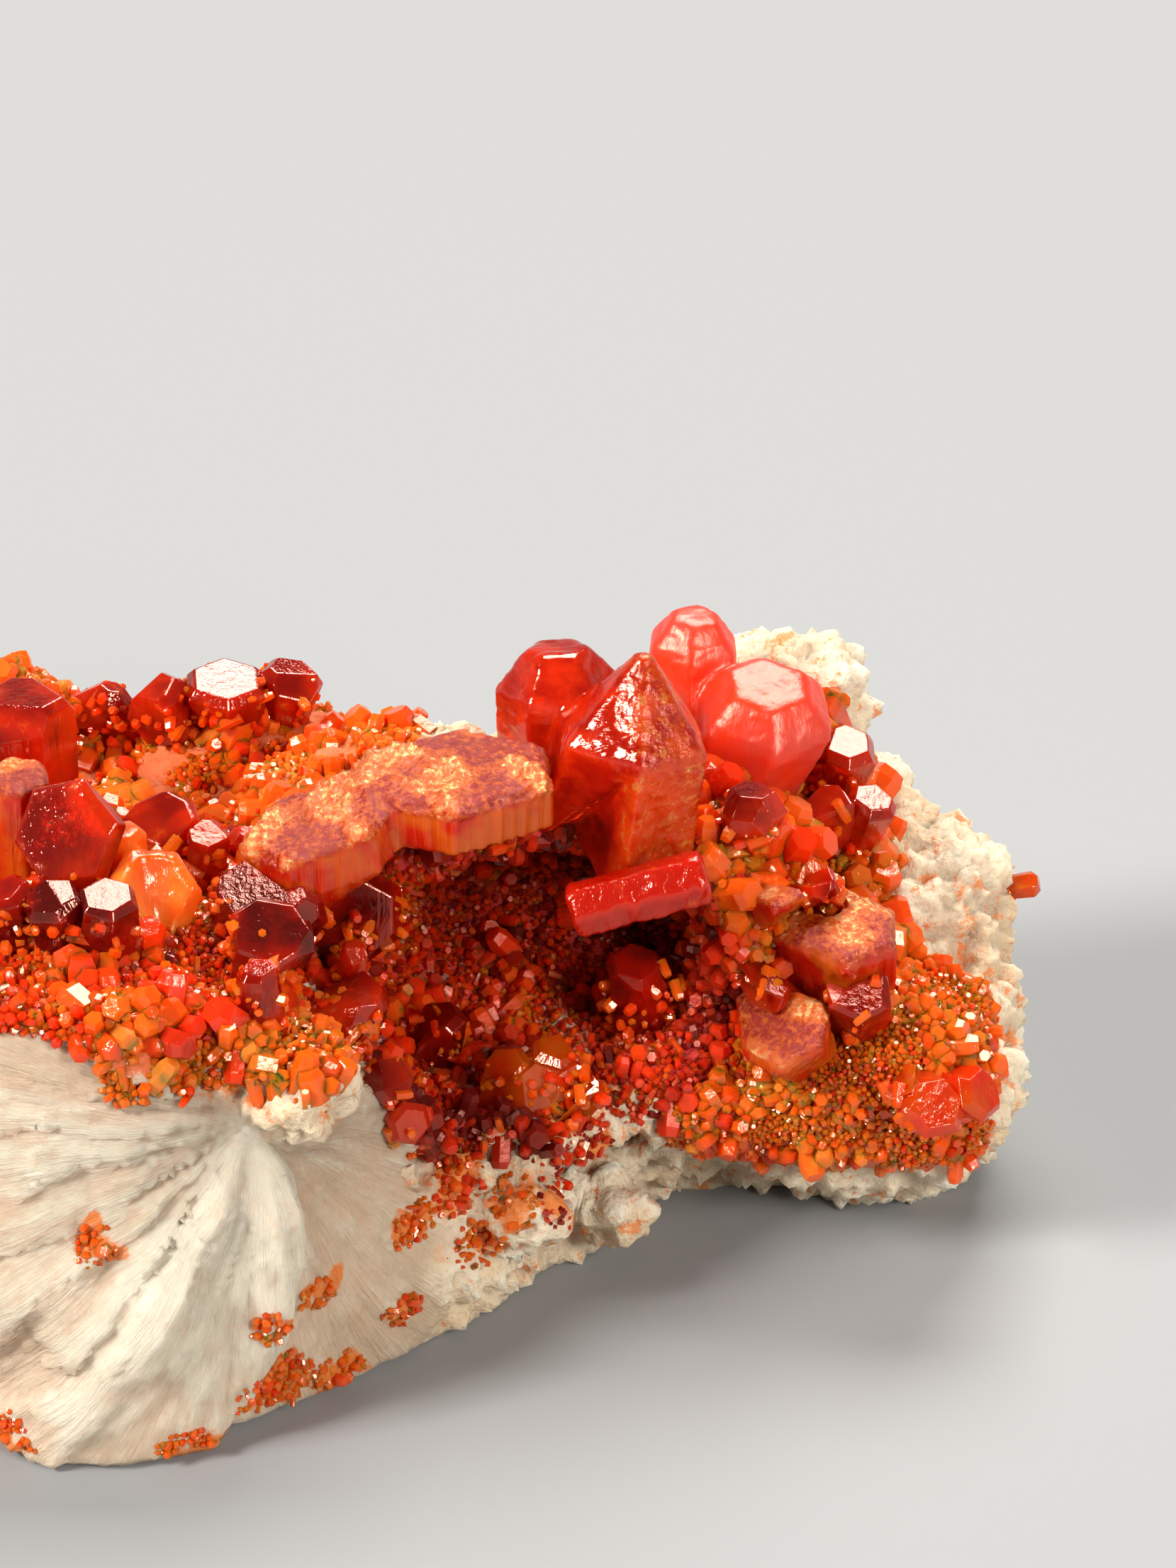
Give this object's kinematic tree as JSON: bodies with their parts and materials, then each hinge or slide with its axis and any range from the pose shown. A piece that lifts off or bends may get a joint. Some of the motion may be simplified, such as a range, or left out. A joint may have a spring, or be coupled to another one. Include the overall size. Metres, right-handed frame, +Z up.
{
  "type": "vanadinite mineral specimen",
  "caption": "Loose rock specimen: red hexagonal crystals and crusts of small crystals on white bladed barite, with an open hollow at the front and a flat underside.",
  "frame": {"origin": "bottom centre of the whole specimen's bounding box, on the plane it rests on", "axes": "+X along the length, to the right as seen from the open front of the hollow; +Y away from that front; +Z up"},
  "size_m": [0.0562, 0.0352, 0.0259],
  "materials": {
    "barite": "rough broken white to cream stone with pearly blades and rust stains",
    "red_vanadinite": "translucent deep red crystal, very bright reflections on flat faces",
    "orange_vanadinite": "translucent orange crystal, partly etched and glittering",
    "dark_vanadinite": "translucent dark red crystal with bright edges",
    "small_crystals": "crust of small glittering orange to red crystals"
  },
  "bodies": {
    "root": {"barite_matrix": "barite", "crust_back_rim": "small_crystals", "crust_front_brim": "small_crystals", "crust_hollow": "small_crystals", "crust_left_bank": "small_crystals", "crust_right_apron": "small_crystals", "crust_right_bank": "small_crystals", "crystal_back_dome": "red_vanadinite", "crystal_back_face_left": "red_vanadinite", "crystal_back_face_right": "red_vanadinite", "crystal_back_rim_bead": "red_vanadinite", "crystal_back_rim_block": "red_vanadinite", "crystal_barrel": "red_vanadinite", "crystal_bright_facet": "red_vanadinite", "crystal_broken_plates": "orange_vanadinite", "crystal_corner_bead": "orange_vanadinite", "crystal_dark_group": "dark_vanadinite", "crystal_etched_slab": "orange_vanadinite", "crystal_far_left_back": "red_vanadinite", "crystal_far_left_plate": "orange_vanadinite", "crystal_far_left_prism": "red_vanadinite", "crystal_front_finger": "orange_vanadinite", "crystal_front_jewel": "red_vanadinite", "crystal_front_prism": "red_vanadinite", "crystal_hollow_back": "dark_vanadinite", "crystal_hollow_left": "dark_vanadinite", "crystal_honeycomb_table": "red_vanadinite", "crystal_ledge_group": "orange_vanadinite", "crystal_left_etched": "red_vanadinite", "crystal_left_mirror": "red_vanadinite", "crystal_left_pentagon": "red_vanadinite", "crystal_left_plate": "red_vanadinite", "crystal_left_shard": "red_vanadinite", "crystal_left_stalk": "dark_vanadinite", "crystal_lying_prism": "orange_vanadinite", "crystal_mirror_plate": "red_vanadinite", "crystal_pillar_beads": "red_vanadinite", "crystal_red_block": "dark_vanadinite", "crystal_right_bank_high": "red_vanadinite", "crystal_right_bank_low": "red_vanadinite", "crystal_right_splinter": "red_vanadinite", "crystal_rimmed_hexagon": "dark_vanadinite", "crystal_roof_block": "dark_vanadinite", "crystal_rosette": "orange_vanadinite", "crystal_squat_table": "orange_vanadinite", "crystal_summit_twin": "red_vanadinite", "crystal_tilted_plate": "orange_vanadinite"}
  },
  "joints": []
}
